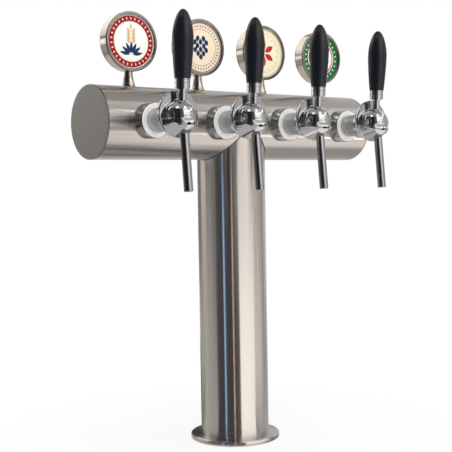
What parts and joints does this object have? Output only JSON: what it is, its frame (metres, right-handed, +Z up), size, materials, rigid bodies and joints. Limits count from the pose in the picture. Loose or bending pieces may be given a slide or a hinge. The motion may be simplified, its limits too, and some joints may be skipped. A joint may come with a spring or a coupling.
{
  "type": "draft beer tower",
  "caption": "T-shaped steel dispensing tower with lever-operated ball taps along a cross tube, round badge lamps on posts above them, and a round flange to bolt to a counter.",
  "frame": {"origin": "axis of the column on the underside of the base flange", "axes": "+Z up along the column, +X along the cross tube, taps towards -Y"},
  "size_m": [0.494, 0.2177, 0.635],
  "materials": {
    "tube_steel": "ground round its girth",
    "cap_steel": "satin",
    "flange_steel": "turned",
    "chrome": "polished",
    "satin_chrome": "satin, turned",
    "socket_steel": "turned and polished",
    "grip_black": "semi-gloss",
    "nickel": "warm polished nickel",
    "face_red": "printed, glossy",
    "face_cream": "printed, glossy",
    "face_pale": "printed, glossy",
    "face_green": "printed, glossy",
    "board_white": "matt",
    "brass": "turned",
    "zinc_steel": "plated",
    "line_steel": "drawn",
    "seal_rubber": "matt",
    "seat_white": "smooth"
  },
  "bodies": {
    "root": {"base_flange": "flange_steel", "base_seal": "seal_rubber", "column_tube": "tube_steel", "cross_tube": "tube_steel", "end_cap_left": "cap_steel", "end_cap_right": "cap_steel", "beer_lines": "line_steel", "shank_nuts": "brass", "coupling_nuts": "satin_chrome", "trunnion_screws": "zinc_steel", "post_nuts": "zinc_steel", "lamp_boards": "board_white", "tap_sockets": "socket_steel", "seat_seals": "seat_white", "tap_body_1": "chrome", "ball_cradle_1": "chrome", "spout_1": "chrome", "badge_post_1": "nickel", "badge_housing_1": "nickel", "badge_bezel_1": "nickel", "badge_face_1": "face_red", "tap_body_2": "chrome", "ball_cradle_2": "chrome", "spout_2": "chrome", "badge_post_2": "nickel", "badge_housing_2": "nickel", "badge_bezel_2": "nickel", "badge_face_2": "face_cream", "tap_body_3": "chrome", "ball_cradle_3": "chrome", "spout_3": "chrome", "badge_post_3": "nickel", "badge_housing_3": "nickel", "badge_bezel_3": "nickel", "badge_face_3": "face_pale", "tap_body_4": "chrome", "ball_cradle_4": "chrome", "spout_4": "chrome", "badge_post_4": "nickel", "badge_housing_4": "nickel", "badge_bezel_4": "nickel", "badge_face_4": "face_green"},
    "lever_1": {"valve_ball_1": "chrome", "lever_stem_1": "chrome", "ferrule_1": "chrome", "grip_1": "grip_black"},
    "lever_2": {"valve_ball_2": "chrome", "lever_stem_2": "chrome", "ferrule_2": "chrome", "grip_2": "grip_black"},
    "lever_3": {"valve_ball_3": "chrome", "lever_stem_3": "chrome", "ferrule_3": "chrome", "grip_3": "grip_black"},
    "lever_4": {"valve_ball_4": "chrome", "lever_stem_4": "chrome", "ferrule_4": "chrome", "grip_4": "grip_black"}
  },
  "joints": [
    {"name": "lever_pull_1", "type": "hinge", "parent": "root", "child": "lever_1", "pos_m": [-0.1815, -0.127, 0.481], "axis": [1, 0, 0], "range_deg": [0, 35]},
    {"name": "lever_pull_2", "type": "hinge", "parent": "root", "child": "lever_2", "pos_m": [-0.0605, -0.127, 0.481], "axis": [1, 0, 0], "range_deg": [0, 35]},
    {"name": "lever_pull_3", "type": "hinge", "parent": "root", "child": "lever_3", "pos_m": [0.0605, -0.127, 0.481], "axis": [1, 0, 0], "range_deg": [0, 35]},
    {"name": "lever_pull_4", "type": "hinge", "parent": "root", "child": "lever_4", "pos_m": [0.1815, -0.127, 0.481], "axis": [1, 0, 0], "range_deg": [0, 35]}
  ]
}
